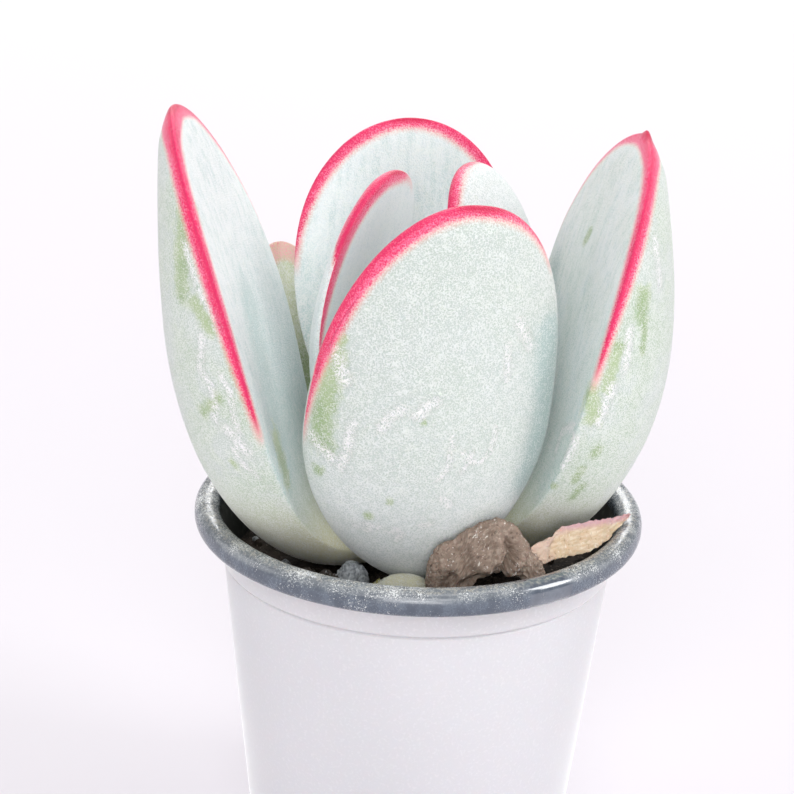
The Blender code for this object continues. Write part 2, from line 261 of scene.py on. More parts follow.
def leafSkin(leaf, part, across, out):
    # points of the skin in mm, and how far along the spine each one lies
    v = leafMesh
    fine = np.linspace(0, 1, v["spineSteps"])
    steps = np.linalg.norm(np.diff(spinePoint(leaf["spine"], fine), axis=0), axis=1)
    lengths = np.concatenate(([0], np.cumsum(steps)))
    t = np.interp(part * lengths[-1], lengths, fine)
    place, slope = spinePoint(leaf["spine"], t), spineSlope(leaf["spine"], t)
    side = np.array((0, 1.0, 0)) - slope[:, 1:2] * slope
    side /= np.linalg.norm(side, axis=1)[:, None]
    inward = np.cross(slope, side)
    start, end = leaf["twist"]
    twist = np.radians(start + (end - start) * part)[:, None]
    blade = side * np.cos(twist) + inward * np.sin(twist)
    normal = inward * np.cos(twist) - side * np.sin(twist)
    baseEnd = np.sqrt(np.clip(1 - np.clip(1 - part / v["baseRound"], 0, 1) ** 2, 0, 1))
    fromTip = (part - (1 - v["tipRound"])) / v["tipRound"]
    ends = baseEnd * np.sqrt(np.clip(1 - np.clip(fromTip, 0, 1) ** 2, 0, 1))
    belly = v["bodyBase"] * (1 - part) + v["bodyTip"] * part
    belly = belly + leaf["belly"] * np.sin(np.pi * part ** leaf["bellyPlace"]) ** leaf["bellySharp"]
    crest = v["crest"] * (1 - part) ** 3
    rise = v["margin"] * ends * np.sign(out) * np.abs(out) ** 0.6
    rise += v["cup"] * np.sin(np.pi * part) * across ** 2
    rise += np.where(out > 0, crest * ends * out ** 2, -belly * ends * np.abs(out) ** 1.5)
    widest = leaf["widest"]
    grow = np.sin(np.pi / 2 * np.clip(part / widest, 0, 1)) ** leaf["swell"]
    low = leaf["base"] + (leaf["width"] - leaf["base"]) * grow
    fall = np.clip((part - widest) / (1 - widest), 0, 1)
    high = leaf["width"] * np.clip(1 - fall ** leaf["shoulder"], 0, 1) ** (1 / leaf["tip"])
    width = np.where(part < widest, low, high) * baseEnd
    point = place + blade * (width * across)[:, None] + normal * rise[:, None]
    turn = math.radians(leaf["azimuth"])
    x, y = point[:, 0].copy(), point[:, 1].copy()
    point[:, 0] = x * math.cos(turn) - y * math.sin(turn)
    point[:, 1] = x * math.sin(turn) + y * math.cos(turn)
    return point, part * lengths[-1]


def setAttribute(mesh, name, kind, values):
    layer = mesh.attributes.new(name, kind, "POINT")
    layer.data.foreach_set("vector" if kind == "FLOAT_VECTOR" else "value",
                           np.asarray(values, np.float32).ravel())


def smoothStep(value, low, high):
    t = np.clip((value - low) / (high - low), 0, 1)
    return t * t * (3 - 2 * t)


def lineDistance(point, corners):
    # distance of each point from a line through the corners
    nearest = np.full(len(point), 1e9)
    for start, end in zip(corners, corners[1:] if len(corners) > 1 else corners):
        step = end - start
        along = np.clip((point - start) @ step / max(step @ step, 1e-9), 0, 1)
        nearest = np.minimum(nearest, np.linalg.norm(point - start - along[:, None] * step, axis=1))
    return nearest


def placedMarks(leaf, marks, point):
    # how much each point lies in the marks, from 0 to 1
    field = np.zeros(len(point))
    for radius, face, *corners in marks:
        part, across = np.array(corners, float).T
        places, _ = leafSkin(leaf, part, across, face * np.sqrt(1 - across ** 2))
        field = np.maximum(field, np.exp(-(lineDistance(point, places) / radius) ** 2))
    return field


def marginDistance(leaf, point):
    # distance to the nearest point of the leaf's margin, through its tip as well
    walk = (1 - np.cos(np.linspace(0, np.pi, leafMesh["marginSteps"]))) / 2
    margin = np.vstack([leafSkin(leaf, walk, np.full(len(walk), side), np.zeros(len(walk)))[0]
                        for side in (-1.0, 1.0)])
    tree = kdtree.KDTree(len(margin))
    for i, corner in enumerate(margin):
        tree.insert(corner, i)
    tree.balance()
    return np.array([tree.find(corner)[2] for corner in point])


def startBall(name, around):
    # a sphere whose rings become sections across a leaf, its poles the leaf's two ends
    deselectAll()
    bpy.ops.mesh.primitive_uv_sphere_add(segments=around, ring_count=around, radius=1)
    piece = startPiece(name)
    ball = np.array([vertex.co for vertex in piece.data.vertices])
    angle = np.arctan2(ball[:, 1], ball[:, 0])
    onPole = np.hypot(ball[:, 0], ball[:, 1]) < 1e-5
    part = np.clip((1 + ball[:, 2]) / 2, 0, 1)
    return piece, part, angle, onPole


def placeSkin(piece, point, dents):
    # points in mm from the rim's top; dents says how far each one then sinks along its normal
    point = point + np.array((0, 0, rimTop / mm))
    mesh = piece.data
    mesh.vertices.foreach_set("co", (point * mm).ravel())
    shape = bmesh.new()
    shape.from_mesh(mesh)
    if shape.calc_volume(signed=True) < 0:
        bmesh.ops.reverse_faces(shape, faces=shape.faces)
    shape.normal_update()
    depths = dents([vertex.co.copy() for vertex in shape.verts],
                   [vertex.normal.copy() for vertex in shape.verts])
    for vertex, depth in zip(shape.verts, depths):
        vertex.co -= vertex.normal * depth * mm
    shape.to_mesh(mesh)
    shape.free()
    mesh.update()


def skinRipple(places, normals):
    # grown skin is never quite even: it dips a little, and never stands proud
    size = leafMesh["rippleSize"] * mm
    return [(0.5 + 0.5 * noise.noise(place / size)) * leafMesh["ripple"] for place in places]


def makeLeaf(node, material, name):
    leaf = leafValues[node]
    around = leafMesh["aroundMarked" if leaf["chalk"] else "around"]
    piece, part, angle, onPole = startBall(name, around)
    mesh = piece.data
    across = np.where(onPole, 1, np.cos(angle))
    out = np.where(onPole, 0, np.sin(angle))
    point, far = leafSkin(leaf, part, across, out)
    edge = marginDistance(leaf, point)
    # the red starts narrow at the lower end of each margin
    low, high = leaf["redDown"]
    down = low + (high - low) * (1 - across) / 2
    reach = leaf["redWide"] * (0.3 + 0.7 * smoothStep(part, down, down + 0.3))
    reach = reach * (1 + leaf.get("tipWide", -0.15) * smoothStep(part, 0.94, 0.99))
    # a pale ridge: the red keeps to one face there
    low, high, side, face = leaf.get("paleRidge", (-1, 0, 1, 1))
    ridge = smoothStep(np.where(out * face > 0, 0.45 - edge, 0.45), 0, 0.25)
    ridge = ridge * smoothStep(side * across, 0.2, 0.5) * (1 - smoothStep(part, low, high))
    reach = reach * (1 - ridge) - 0.6 * ridge
    outer = 1 - smoothStep(out, -0.1, 0.2)
    wash = outer * leaf["wash"] + (1 - outer) * leaf.get("washInner", 0)
    # the young value is whiter powder and painted light on faces in shade; the pale base value is
    # painted light on the lower part
    youngAndPaintedLight = leaf.get("youngAndPaintedLight", 0) + leaf.get("paintedLightBase", 0) * (1 - smoothStep(part, 0.12, 0.5))
    for field, values in (("edgeDistance", edge), ("leafPart", part), ("redReach", reach),
                          ("redEnding", leaf["redFull"] * np.clip((part - down) / 0.12, 0, 1)),
                          ("innerFace", np.clip(out * 3, -1, 1)),
                          ("baseEnd", 1 - smoothStep(part, 0.4 * leaf["baseUp"], leaf["baseUp"])),
                          ("wash", wash), ("youngAndPaintedLight", youngAndPaintedLight + 0 * part),
                          ("bare", placedMarks(leaf, leaf["bare"], point)),
                          # the shade marks are painted shade
                          ("thin", placedMarks(leaf, leaf["thin"], point)),
                          ("chalk", placedMarks(leaf, leaf["chalk"], point))):
        setAttribute(mesh, field, "FLOAT", values)
    # the last number keeps the two faces' patterns apart
    setAttribute(mesh, "skinPlace", "FLOAT_VECTOR", np.stack([edge, far, np.sign(out) * 7], 1))
    if "nib" in leaf:
        tip = point[np.argmax(part)]    # a small point at the very tip
        near = np.exp(-(np.linalg.norm(point - tip, axis=1) / 1.1) ** 2)
        point = point + near[:, None] * np.array((0.1, 0, 1)) * leaf["nib"]
    placeSkin(piece, point, skinRipple)
    mesh.materials.append(material)
    shadeSmooth(piece, 180)
    return finishPiece(piece, [node])


# living leaf: succulent skin under a white powder bloom
# The powder makes the skin matt, grainy and nearly white. The green shows where it is rubbed
# off, and white ridges stand where it was pushed together. A grain is really about 0.05 mm,
# and is drawn 0.22 mm wide so that it shows.
# the darker teal film colour is painted shade, the inner face's low colour painted shade and its high
# colour painted light, and the young colour is whiter powder and painted light
bloomValues = dict(
    film="#C7D1CC", filmShade="#B7C3BD", paintedShadeTeal="#A9C0BD", youngAndPaintedLight="#EAEFF2", wash="#A9C09A",
    rubbed="#A5B5A6", grainWhite="#F6F8F7", chalk="#FFFFFF", skin="#ABBE90", skinDeep="#94AD7B",
    baseTint="#E2DDBA", yellow="#CBD092", innerPaintedShade="#BAD5D2", innerPaintedLight="#E8EFF0",
    innerStreak="#ACC8C5", red="#EA3068", redLight="#FB86A8", redLine="#CE2258",
    redHalo="#F7B0A4", tipRed="#C81848",
    grain=0.22, clump=1.5, cloud=9.0, flake=0.6, streak=(1.11, 6.25), vein=(0.5, 9),
    roughness=0.7, redRoughness=0.42, translucence=0.2, depth=2.5)


def redMargin(tree, values, edge, reach, ending, centredGrain):
    # sharp at the ridge, grainy where it runs into the powder
    inside = addNode(tree, "Math", minus, [reach, addNode(tree, "Math", plus, [
        edge, addNode(tree, "Math", times, [centredGrain, 1.2])])])
    fade = addNode(tree, "Math", plus, [ending, addNode(tree, "Math", times, [centredGrain, 0.8])])
    strong = addNode(tree, "MapRange", soft, [fade, 0.1, 0.6, 0, 1])
    red = addNode(tree, "Math", times, [
        addNode(tree, "MapRange", soft, [inside, -0.3, 0.6, 0, 1]), strong])
    halo = addNode(tree, "Math", times, [
        addNode(tree, "MapRange", soft, [inside, -0.9, 0.2, 0, 0.5]),
        addNode(tree, "MapRange", soft, [ending, 0.0, 0.35, 0, 1])])
    # its powder thickens towards the face, and fine darker lines run along it
    toFace = addNode(tree, "Math", {"operation": "DIVIDE"}, [
        edge, addNode(tree, "Math", {"operation": "MAXIMUM"}, [reach, 0.3])])
    paler = addNode(tree, "Math", plus, [
        addNode(tree, "Math", times, [toFace, 0.85]),
        addNode(tree, "Math", times, [centredGrain, 2.4])])
    wide, long = values["vein"]
    skin = addNode(tree, "Attribute", {"attribute_name": "skinPlace"}, {}, "Vector")
    drawn = addNode(tree, "Mapping", {}, {"Vector": skin, "Scale": (1 / wide, 1 / long, 1)})
    vein = addNode(tree, "TexNoise", {}, {"Vector": drawn, "Scale": 1, "Detail": 2})
    shade = paintCoats(tree, linear(values["red"]), [
        (addNode(tree, "MapRange", soft, [paler, 0.1, 1.0, 0, 1]), values["redLight"]),
        (addNode(tree, "MapRange", soft, [vein, 0.56, 0.66, 0, 0.5]), values["redLine"]),
        (addNode(tree, "MapRange", soft, [edge, 0.05, 0.3, 0.4, 0]), values["redLine"])])
    return red, shade, halo, strong


def innerLightShadeAndStreaks(tree, values, place, part):
    # painted light towards the tip and painted shade, a darker teal, towards the base, with thinner
    # powder in streaks along the leaf
    litToShaded = addNode(tree, "Mix", colourMix, {
        0: addNode(tree, "MapRange", soft, [part, 0.3, 0.8, 0, 1]),
        6: linear(values["innerPaintedShade"]), 7: linear(values["innerPaintedLight"])}, 2)
    wide, long = values["streak"]
    drawn = addNode(tree, "Mapping", {}, {
        "Vector": place, "Scale": (1 / (wide * mm), 1 / (wide * mm), 1 / (long * mm))})
    streak = addNode(tree, "TexNoise", {}, {"Vector": drawn, "Scale": 1, "Detail": 3})
    return litToShaded, addNode(tree, "MapRange", soft, [streak, 0.42, 0.68, 0, 0.45])


def bloomMaterial(name, values, yellow=0.0):
    material, tree, shader = newMaterial(name)
    place = addNode(tree, "TexCoord", {}, {}, "Object")
    edge, reach, ending, part, inner, base, wash, youngAndPaintedLight, bare, thin, chalk = [
        addNode(tree, "Attribute", {"attribute_name": field}, {}, "Fac")
        for field in ("edgeDistance", "redReach", "redEnding", "leafPart", "innerFace", "baseEnd",
                      "wash", "youngAndPaintedLight", "bare", "thin", "chalk")]
    grain, clump, cloud, flake = [
        addNode(tree, "TexNoise", {}, {"Vector": place, "Scale": 1 / (values[size] * mm),
                                       "Detail": detail, "Roughness": 0.6, "Distortion": warp})
        for size, detail, warp in (("grain", 1.5, 0), ("clump", 3, 0), ("cloud", 2, 0),
                                   ("flake", 3, 1.2))]
    centred = [addNode(tree, "Math", minus, [pattern, 0.5]) for pattern in (grain, clump)]
    # white specks of powder, sparser on bare skin, near the base and in the painted shade
    worn = addNode(tree, "Math", times, [bare, 0.09])
    for field, amount in ((base, 0.08), (thin, 0.1)):
        worn = addNode(tree, "Math", plus, [worn, addNode(tree, "Math", times, [field, amount])])
    lifted = addNode(tree, "Math", plus, [grain, addNode(tree, "Math", times, [centred[1], 0.35])])
    speck = addNode(tree, "MapRange", soft, [
        addNode(tree, "Math", minus, [lifted, worn]), 0.36, 0.62, 0, 1])
    # chalky ridges, broken into flakes
    crest = addNode(tree, "MapRange", soft, [
        addNode(tree, "Math", {"operation": "ABSOLUTE"}, [
            addNode(tree, "Math", minus, [flake, 0.5])]), 0, 0.1, 0.45, -0.6])
    heaped = addNode(tree, "MapRange", soft, [
        addNode(tree, "Math", plus, [chalk, crest]), 0.55, 0.95, 0, 0.95])
    rubbed = addNode(tree, "MapRange", soft, [chalk, 0.02, 0.3, 0, 0.15])
    # bare green skin, ragged at its edge
    ragged = addNode(tree, "Math", plus, [bare, addNode(tree, "Math", times, [centred[1], 1.5])])
    green = addNode(tree, "MapRange", soft, [ragged, 0.15, 0.85, 0, 0.92])
    washed = addNode(tree, "Math", times, [wash, addNode(tree, "MapRange", soft, [
        addNode(tree, "Math", plus, [cloud, addNode(tree, "Math", times, [centred[1], 0.5])]),
        0.35, 0.62, 0.25, 1])])
    red, redShade, halo, strong = redMargin(tree, values, edge, reach, ending, centred[0])
    tip = addNode(tree, "MapRange", soft, [part, 0.985, 0.999, 0, 0.8])
    innerLightAndShade, streaks = innerLightShadeAndStreaks(tree, values, place, part)
    onInner = addNode(tree, "MapRange", {}, [inner, -0.3, 0.6, 0, 1])
    streaked = addNode(tree, "Math", times, [streaks, onInner])
    greens = addNode(tree, "Mix", colourMix, {
        0: addNode(tree, "MapRange", soft, [cloud, 0.4, 0.6, 0, 1]),
        6: linear(values["skin"]), 7: linear(values["skinDeep"])}, 2)
    colour = paintCoats(tree, linear(values["film"]), [
        (addNode(tree, "MapRange", soft, [clump, 0.35, 0.7, 0, 0.55]), values["filmShade"]),
        # the inner face: painted light towards the tip, painted shade towards the base
        (addNode(tree, "MapRange", {}, [inner, -0.3, 0.6, 0, 0.95]), innerLightAndShade),
        (streaked, values["innerStreak"]),
        (washed, values["wash"]),
        # whiter young powder, and painted light on faces and lower parts that lie in shade
        (addNode(tree, "Math", times, [youngAndPaintedLight, addNode(tree, "MapRange", soft, [
            lifted, 0.4, 0.6, 0.55, 1])]), values["youngAndPaintedLight"]),
        # painted shade: a darker teal film where shade falls on the leaf
        (addNode(tree, "MapRange", soft, [thin, 0.05, 0.9, 0, 0.8]), values["paintedShadeTeal"]),
        (rubbed, values["rubbed"]),
        (addNode(tree, "MapRange", {}, [base, 0, 1, 0, 0.95]), values["baseTint"]),
        (yellow, values["yellow"]),
        (green, greens),
        (addNode(tree, "Math", times, [speck, 0.62]), values["grainWhite"]),
        (heaped, values["chalk"]),
        (halo, values["redHalo"]),
        (red, redShade),
        (addNode(tree, "Math", times, [tip, strong]), values["tipRed"])])
    tree.links.new(colour, shader.inputs["Base Color"])
    tree.links.new(addNode(tree, "MapRange", {}, [
        red, 0, 1, values["roughness"], values["redRoughness"]]), shader.inputs["Roughness"])
    shader.inputs["Specular IOR Level"].default_value = 0.3
    shader.inputs["Sheen Weight"].default_value = 0.5
    shader.inputs["Sheen Roughness"].default_value = 0.3
    # fleshy tissue lets light through
    shader.inputs["Subsurface Weight"].default_value = values["translucence"]
    shader.inputs["Subsurface Radius"].default_value = (1.0, 0.95, 0.75)
    shader.inputs["Subsurface Scale"].default_value = values["depth"] * mm
    tree.links.new(raiseRelief(tree, [(clump, 0.1, 0.5), (speck, 0.07, 1.0), (heaped, 0.15, 0.6)]),
                   shader.inputs["Normal"])
    return material


# withered leaves
# Each row is a section from the leaf's lower edge to its upper edge, two points in mm from the
# rim's top centre, and half its thickness there. The folds are lines seen from the front:
# a radius and a height in mm (below nought for a crease), and corners (x, z). The veins are
# drawn as long as veinLength.
witheredValues = {
    "dried_leaf_brown": dict(
        finish="withered leaf, brown", low="#4E3D33", mid="#887669", high="#B5A496",
        veinLength=0.7, around=168, crumple=0.3, crumpleSize=2.4,
        fine=0.26, fineSize=0.7, bow=0,
        rows=((1.9, -22.6, -5.0, 1.8, -22.4, -1.0, 0.7), (3.2, -23.2, -8.0, 3.0, -22.9, 1.9, 1.7),
              (5.6, -23.6, -9.3, 5.4, -22.7, 3.3, 2.2), (8.2, -23.4, -4.4, 7.9, -22.0, 4.9, 2.3),
              (11.0, -22.8, -2.2, 10.8, -21.2, 6.1, 2.2), (13.6, -22.4, -1.9, 13.6, -20.9, 5.6, 2.0),
              (15.6, -22.8, -2.4, 15.3, -20.4, 3.1, 1.5), (17.4, -23.2, -4.6, 17.2, -20.2, 0.9, 1.2),
              (18.9, -22.4, -4.0, 18.7, -20.4, -0.9, 0.6)),
        folds=((0.8, -2.2, (13.3, 3.4), (14.0, 2.2), (13.4, 0.3), (12.0, -1.2)),
               (1.1, 1.2, (11.4, 4.4), (12.4, 3.0), (12.0, 1.2), (10.6, -0.3)),
               (0.9, 0.8, (14.2, 4.6), (15.4, 2.6), (14.8, 0.2), (13.4, -1.8)),
               (0.8, -1.5, (3.9, -4.6), (4.1, -3.0), (5.2, -1.8)),
               (1.0, -1.2, (6.4, 2.6), (7.4, 1.0), (7.6, -0.6)),
               (1.2, -1.4, (7.2, -3.4), (9.6, -2.6)))),
    "dried_leaf_tan": dict(
        finish="withered leaf, tan", low="#A08468", mid="#CDB496", high="#E6D8C4",
        blush="#C79AA6", neck="#CDB3A6", veinLength=2.4, around=144, crumple=0.2, crumpleSize=1.8,
        fine=0.12, fineSize=0.6, bow=-0.5,
        rows=((16.9, -21.6, -1.4, 16.5, -21.0, 1.7, 0.5), (18.8, -20.7, -0.9, 18.5, -19.6, 2.2, 0.8),
              (20.4, -19.6, -0.7, 19.9, -18.2, 2.4, 0.6), (21.7, -18.8, -0.7, 21.0, -16.8, 3.1, 0.45),
              (23.4, -17.8, -0.7, 22.7, -15.8, 3.4, 0.45), (25.6, -16.3, -0.7, 25.0, -14.0, 3.1, 0.4),
              (27.9, -13.8, -0.5, 27.6, -11.6, 2.6, 0.4), (30.1, -9.9, -0.1, 29.8, -8.7, 1.8, 0.35),
              (32.7, -5.3, 0.8, 32.8, -5.0, 1.0, 0.2)),
        folds=((0.5, -0.7, (20.2, -0.6), (20.3, 1.2)),)),
}
# the width of the veins and the sizes of flakes, patches and pale flecks, in mm; the pale flecks are
# painted glints
driedValues = dict(vein=0.5, flake=0.7, patch=2.2, paintedGlint=0.4, white="#F1EAE2")


def driedMaterial(v):
    # thin dry tissue, wrinkled along its veins, flaky, matt, with painted shade in its creases and a
    # painted highlight on its ridges
    material, tree, shader = newMaterial(v["finish"])
    low, mid, high = v["low"], v["mid"], v["high"]
    place = addNode(tree, "Attribute", {"attribute_name": "skinPlace"}, {}, "Vector")
    part, edge, raised = [addNode(tree, "Attribute", {"attribute_name": field}, {}, "Fac")
                          for field in ("leafPart", "edgeDistance", "raised")]
    along = addNode(tree, "Mapping", {}, {"Vector": place, "Scale": (
        1 / driedValues["vein"], 1 / v["veinLength"], 1)})
    veins = addNode(tree, "TexNoise", {}, {"Vector": along, "Scale": 1, "Detail": 4, "Roughness": 0.6})
    flake, patch, paintedGlint = [
        addNode(tree, "TexNoise", {}, {"Vector": place, "Scale": 1 / size, "Detail": 3,
                                       "Roughness": 0.65})
        for size in (driedValues["flake"], driedValues["patch"], driedValues["paintedGlint"])]
    coats = [
        # painted shade: the creases keep the dark colour
        (addNode(tree, "MapRange", soft, [raised, -0.75, -0.05, 0, 1]), mid),
        (addNode(tree, "MapRange", soft, [veins, 0.42, 0.66, 0, 0.7]), high),
        (addNode(tree, "MapRange", soft, [patch, 0.46, 0.6, 0, 0.7]), mid),
        (addNode(tree, "MapRange", soft, [flake, 0.42, 0.34, 0, 0.6]), low),
        # painted highlight on the raised ridges
        (addNode(tree, "MapRange", soft, [raised, 0.1, 0.6, 0, 0.5]), high),
        # painted shade deep in the creases
        (addNode(tree, "MapRange", soft, [raised, -0.5, -1.1, 0, 0.9]), low),
        # painted glints: pale flecks
        (addNode(tree, "MapRange", soft, [addNode(tree, "Math", plus, [paintedGlint, addNode(
            tree, "Math", times, [patch, 0.5])]), 0.88, 0.96, 0, 0.7]), driedValues["white"])]
    if "blush" in v:
        # reddish along the edge and pale at the neck
        wide = addNode(tree, "Math", plus, [edge, addNode(tree, "Math", times, [
            addNode(tree, "Math", minus, [flake, 0.5]), 1.2])])
        rim = addNode(tree, "Math", times, [
            addNode(tree, "MapRange", soft, [wide, 0.3, 1.3, 0.8, 0]),
            addNode(tree, "MapRange", soft, [part, 0.3, 0.5, 0.3, 1])])
        coats.append((rim, v["blush"]))
        coats.append((addNode(tree, "MapRange", soft, [part, 0.32, 0.2, 0, 0.55]), v["neck"]))
    tree.links.new(paintCoats(tree, linear(low), coats), shader.inputs["Base Color"])
    shader.inputs["Roughness"].default_value = 0.7
    shader.inputs["Specular IOR Level"].default_value = 0.35
    shader.inputs["Subsurface Weight"].default_value = 0.1
    shader.inputs["Subsurface Scale"].default_value = 1.0 * mm
    tree.links.new(raiseRelief(tree, [(veins, 0.12, 0.6), (flake, 0.2, 0.8)]), shader.inputs["Normal"])
    return material


def throughRows(rows, place):
    # a smooth run through the rows of a table, place going from 0 to 1
    table = np.array(rows, float)
    last = len(table) - 1
    i = np.clip((place * last).astype(int), 0, last - 1)
    f = (place * last - i)[:, None]
    a, b, c, d = [table[np.clip(i + k, 0, last)] for k in (-1, 0, 1, 2)]
    return b + 0.5 * f * (c - a + f * (2 * a - 5 * b + 4 * c - d + f * (3 * (b - c) + d - a)))


def makeWithered(node, name):
    v = witheredValues[node]
    piece, part, angle, onPole = startBall(name, v["around"])
    across = np.where(onPole, 0, np.cos(angle))
    out = np.where(onPole, 0, np.sin(angle))
    rows, before, after = [throughRows(v["rows"], np.clip(part + step, 0, 1))
                           for step in (0, -0.01, 0.01)]
    middle, half = (rows[:, :3] + rows[:, 3:6]) / 2, (rows[:, 3:6] - rows[:, :3]) / 2
    along = (after - before)[:, :6].reshape(-1, 2, 3).mean(1)
    front = np.cross(along, half)
    front /= np.linalg.norm(front, axis=1)[:, None]
    ends = np.sqrt(np.clip(1 - np.clip(1 - np.minimum(part, 1 - part) / 0.05, 0, 1) ** 2, 0, 1))
    thick = rows[:, 6] * out + v["bow"] * (1 - across ** 2)
    point = middle + half * (across * ends)[:, None] + front * (thick * ends)[:, None]
    tall = np.linalg.norm(half, axis=1)
    length = np.linalg.norm(np.diff(np.array(v["rows"])[:, :3], axis=0), axis=1).sum()
    setAttribute(piece.data, "leafPart", "FLOAT", part)
    setAttribute(piece.data, "edgeDistance", "FLOAT", tall * (1 - across))
    setAttribute(piece.data, "skinPlace", "FLOAT_VECTOR",
                 np.stack([across * tall, part * length, np.sign(out) * 7], 1))

    def crumple(places, normals):
        depths = []
        for place, normal in zip(places, normals):
            big = abs(noise.noise(place / (v["crumpleSize"] * mm)))
            small = abs(noise.noise(place / (v["fineSize"] * mm) + Vector((5, 1, 8))))
            depths.append(v["crumple"] * (2.2 * big - 0.5) + v["fine"] * (2.2 * small - 0.5))
        depths = np.array(depths)
        seen = np.array([(place.x / mm, (place.z - rimTop) / mm) for place in places])
        frontal = smoothStep(np.array([-normal.y for normal in normals]), 0, 0.4)
        for radius, height, *corners in v["folds"]:
            near = np.exp(-(lineDistance(seen, np.array(corners, float)) / radius) ** 2)
            depths -= height * near * frontal
        setAttribute(piece.data, "raised", "FLOAT", -depths)
        return depths

    placeSkin(piece, point, crumple)
    piece.data.materials.append(driedMaterial(v))
    shadeSmooth(piece, 180)
    return finishPiece(piece, [node])


# pot
# in mm, the wiped spot from the rim's top centre
potValues = dict(segments=160, rimWidth=3.95, rimDepth=4.1, rimSteps=32, rimSquare=0.85, wall=1.0,
                 wallAtTop=31.3, taper=0.1, shoulderDrop=8.95, shoulderStep=0.4, footRound=1.6,
                 drains=5, drainRadius=1.8, drainCircle=15.0, wipedSpot=(18.6, -27.8, -0.5),
                 wipedReach=5.2)
# the colour laid on the wall just under the rim is painted shade
whiteValues = dict(sheet="#D1D0D4", thin="#B3B0AF", cloudy="#D0CED3", bright="#E9E7EB",
                   cloud=12, fine=0.45)
# a speck of dust is really about 0.05 mm, and is drawn 0.2 mm wide so that it shows
greyValues = dict(sheet="#4F5764", pale="#66707D", film="#989C9E", tan="#BDB7AA", dust="#F1F3F3",
                  filmSize=2.4, gritSize=0.3, speckSize=0.2, crumbSize=0.6, patchSize=4,
                  gloss=0.12, dull=0.7)
# painted shade inside the pot: wet is the near-black shade, dry its lighter patches, size in mm
insideShadeValues = dict(wet="#1E211F", dry="#4A4D48", size=1.5)


def wallRadius(drop):
    radius = potValues["wallAtTop"] - potValues["taper"] * drop
    return radius + potValues["shoulderStep"] if drop < potValues["shoulderDrop"] else radius


def latheByRings(name, outline, segments):
    # a circle extruded ring by ring along the outline (radius, height in mm), poles merged
    deselectAll()
    radius, height = outline[0]
    bpy.ops.mesh.primitive_circle_add(vertices=segments, radius=radius * mm, fill_type="NGON",
                                      location=(0, 0, 0))
    piece = startPiece(name)
    piece.data.transform(Matrix.Translation((0, 0, height * mm)))
    bpy.ops.object.mode_set(mode="EDIT")
    bpy.ops.mesh.select_all(action="SELECT")
    bpy.ops.mesh.delete(type="ONLY_FACE")
    bpy.ops.mesh.select_all(action="SELECT")
    for nextRadius, nextHeight in outline[1:]:
        bpy.ops.mesh.extrude_region_move(
            TRANSFORM_OT_translate={"value": (0, 0, (nextHeight - height) * mm)})
        factor = nextRadius / radius
        bpy.ops.transform.resize(value=(factor, factor, 1), center_override=(0, 0, 0))
        radius, height = nextRadius, nextHeight
    bpy.ops.mesh.select_all(action="SELECT")
    bpy.ops.mesh.remove_doubles(threshold=0.00002)
    bpy.ops.mesh.fill_holes(sides=0)
    bpy.ops.mesh.normals_make_consistent(inside=False)
    bpy.ops.object.mode_set(mode="OBJECT")
    return piece


def footCurve(edge, low, angles):
    # the rounded foot, from the flat base at 0 degrees up to the wall at 90
    bend = potValues["footRound"]
    return [(edge - bend * (1 - math.sin(math.radians(angle))),
             low + bend * (1 - math.cos(math.radians(angle)))) for angle in angles]


def potOutline():
    v = potValues
    height = rimTop / mm
    foot = wallRadius(height)
    shoulder = height - v["shoulderDrop"]
    points = [(0.4, v["wall"]), *footCurve(foot - v["wall"], v["wall"], range(0, 91, 15))]
    points.append((wallRadius(v["shoulderDrop"] + 0.5) - v["wall"], shoulder - 0.5))
    points.append((wallRadius(v["shoulderDrop"] - 0.5) - v["wall"], shoulder + 0.5))
    points.append((wallRadius(v["rimDepth"]) - v["wall"], height - v["rimDepth"]))
    # the rolled rim, from its inner side over the top to its outer underside
    middle = rimRadius / mm - v["rimWidth"] / 2
    for i in range(v["rimSteps"] + 1):
        angle = math.radians(195 - 285 * i / v["rimSteps"])
        across = math.copysign(abs(math.cos(angle)) ** v["rimSquare"], math.cos(angle))
        up = math.copysign(abs(math.sin(angle)) ** v["rimSquare"], math.sin(angle))
        points.append((middle + across * v["rimWidth"] / 2,
                       height - v["rimDepth"] / 2 + up * v["rimDepth"] / 2))
    points.append((wallRadius(v["rimDepth"]) + 0.2, height - v["rimDepth"]))
    points.append((wallRadius(v["rimDepth"] + 0.4), height - v["rimDepth"] - 0.4))
    # the stacking shoulder: a rounded lip over a narrow groove
    lip = wallRadius(v["shoulderDrop"] - 0.1)
    for out, up in ((0, 0.5), (-0.02, 0.3), (-0.1, 0.14), (-0.3, 0.05), (-0.75, 0.0), (-0.9, -0.14),
                    (-0.8, -0.3), (-0.5, -0.46), (-0.41, -0.65)):
        points.append((lip + out, shoulder + up))
    points.append((wallRadius(height * 0.6), height * 0.4))
    return points + footCurve(foot, 0, range(90, -1, -15)) + [(0.4, 0)]


